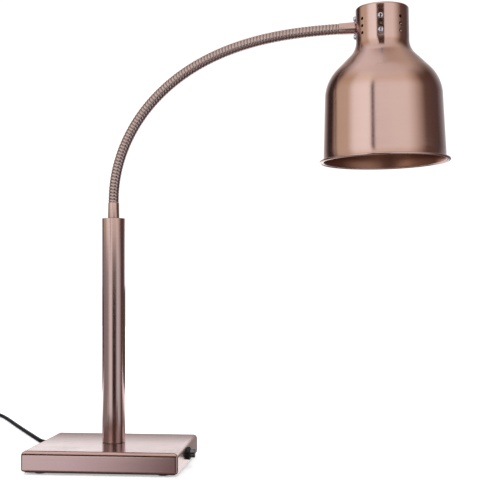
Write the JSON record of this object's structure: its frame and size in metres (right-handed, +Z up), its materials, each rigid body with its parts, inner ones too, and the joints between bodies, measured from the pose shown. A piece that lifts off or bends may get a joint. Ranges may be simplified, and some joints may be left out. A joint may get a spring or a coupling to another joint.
{
  "type": "heat lamp warmer",
  "caption": "Table-top food-warming heat lamp: low box base with push switch, round upright, bendable gooseneck arm and downward bell shade around a reflector lamp, with mains cord and plug.",
  "frame": {"origin": "on the table plane under the middle of the base, which is also the axis of the upright", "axes": "+Z up; +X to the side that the gooseneck leans to, where the push switch is; +Y to the back, where the mains cord leaves; the front faces -Y"},
  "size_m": [0.9198, 0.6888, 0.6181],
  "materials": {
    "copper steel": "satin copper-tone plating, brushed",
    "copper aluminium": "satin copper-tone anodising, spun and brushed",
    "steel": "bright zinc plate",
    "black steel": "matte black paint",
    "cast steel": "rough, as cast",
    "black plastic": "fine moulded satin",
    "dark chrome": "polished",
    "rubber": "matte",
    "cord rubber": "matte",
    "ceramic": "unglazed white",
    "brass": "bright",
    "lamp glass": "gloss, silvered inside above the lens",
    "silicone": "matte"
  },
  "bodies": {
    "stand": {"ballast_plate": "cast steel", "base_bottom_plate": "black steel", "base_cover": "copper steel", "column_foot_boss": "steel", "column_foot_nut": "steel", "column_hollow_bolt": "steel", "column_top_plug": "copper steel", "column_tube": "copper steel", "cord_coil": "cord rubber", "cord_gland": "rubber", "cord_tail": "cord rubber", "ferrule_locknut": "steel", "gland_nut": "black plastic", "gooseneck_01": "copper steel", "lamp_lead": "silicone", "lower_ferrule": "copper steel", "mains_cord": "cord rubber", "mains_inner_lead": "cord rubber", "plate_screw_1": "steel", "plate_screw_2": "steel", "plate_screw_3": "steel", "plate_screw_4": "steel", "plug_body": "black plastic", "plug_pin_1": "steel", "plug_pin_2": "steel", "rubber_foot_1": "rubber", "rubber_foot_2": "rubber", "rubber_foot_3": "rubber", "rubber_foot_4": "rubber", "switch_bezel": "black plastic", "switch_body": "black plastic", "switch_nut": "steel", "terminal_block": "black plastic"},
    "neck_02": {"gooseneck_02": "copper steel"},
    "neck_03": {"gooseneck_03": "copper steel"},
    "neck_04": {"gooseneck_04": "copper steel"},
    "neck_05": {"gooseneck_05": "copper steel"},
    "neck_06": {"gooseneck_06": "copper steel"},
    "neck_07": {"gooseneck_07": "copper steel"},
    "neck_08": {"gooseneck_08": "copper steel"},
    "neck_09": {"gooseneck_09": "copper steel"},
    "head": {"arm_bracket": "steel", "arm_screw_lower": "steel", "arm_screw_upper": "steel", "bracket_screw_front_lower": "steel", "bracket_screw_front_upper": "steel", "bracket_screw_rear_lower": "steel", "bracket_screw_rear_upper": "steel", "bulb_cap": "brass", "bulb_glass": "lamp glass", "gooseneck_10": "copper steel", "holder_bracket": "steel", "holder_nut": "steel", "holder_shell": "brass", "lamp_holder": "ceramic", "shade": "copper aluminium", "sleeve_locknut": "steel", "upper_ferrule": "copper steel"},
    "button": {"switch_button": "dark chrome"}
  },
  "joints": [
    {"name": "arm_bend_1", "type": "hinge", "parent": "stand", "child": "neck_02", "pos_m": [0.00455, -0.00044, 0.40891], "axis": [0.0958, 0.9954, 0], "range_deg": [-9.6, 7.2]},
    {"name": "arm_sway_1", "type": "hinge", "parent": "neck_02", "child": "neck_03", "pos_m": [0.01862, -0.00179, 0.4498], "axis": [-0.8995, 0.0866, 0.4284], "range_deg": [-7, 7]},
    {"name": "arm_bend_2", "type": "hinge", "parent": "neck_03", "child": "neck_04", "pos_m": [0.04107, -0.00396, 0.48672], "axis": [0.0958, 0.9954, 0], "range_deg": [-9.6, 7.2]},
    {"name": "arm_sway_2", "type": "hinge", "parent": "neck_04", "child": "neck_05", "pos_m": [0.07046, -0.00678, 0.51838], "axis": [-0.6597, 0.0635, 0.7488], "range_deg": [-7, 7]},
    {"name": "arm_bend_3", "type": "hinge", "parent": "neck_05", "child": "neck_06", "pos_m": [0.10516, -0.01013, 0.54404], "axis": [0.0958, 0.9954, 0], "range_deg": [-9.6, 7.2]},
    {"name": "arm_sway_3", "type": "hinge", "parent": "neck_06", "child": "neck_07", "pos_m": [0.14364, -0.01383, 0.56356], "axis": [-0.3795, 0.0365, 0.9245], "range_deg": [-7, 7]},
    {"name": "arm_bend_4", "type": "hinge", "parent": "neck_07", "child": "neck_08", "pos_m": [0.18454, -0.01777, 0.57728], "axis": [0.0958, 0.9954, 0], "range_deg": [-9.6, 7.2]},
    {"name": "arm_sway_4", "type": "hinge", "parent": "neck_08", "child": "neck_09", "pos_m": [0.2268, -0.02184, 0.58592], "axis": [-0.1474, 0.0142, 0.989], "range_deg": [-7, 7]},
    {"name": "arm_bend_5", "type": "hinge", "parent": "neck_09", "child": "head", "pos_m": [0.2697, -0.02597, 0.5905], "axis": [0.0958, 0.9954, 0], "range_deg": [-9.6, 7.2]},
    {"name": "switch_push", "type": "slide", "parent": "stand", "child": "button", "axis": [-1, 0, 0], "range_m": [0, 0.003], "stiffness_N_per_m": 400, "springref_m": -0.002}
  ],
  "couplings": [
    {"joint": "arm_bend_2", "follows": "arm_bend_1", "ratio": 1},
    {"joint": "arm_bend_3", "follows": "arm_bend_1", "ratio": 1},
    {"joint": "arm_bend_4", "follows": "arm_bend_1", "ratio": 1},
    {"joint": "arm_bend_5", "follows": "arm_bend_1", "ratio": 1},
    {"joint": "arm_sway_2", "follows": "arm_sway_1", "ratio": 1},
    {"joint": "arm_sway_3", "follows": "arm_sway_1", "ratio": 1},
    {"joint": "arm_sway_4", "follows": "arm_sway_1", "ratio": 1}
  ]
}
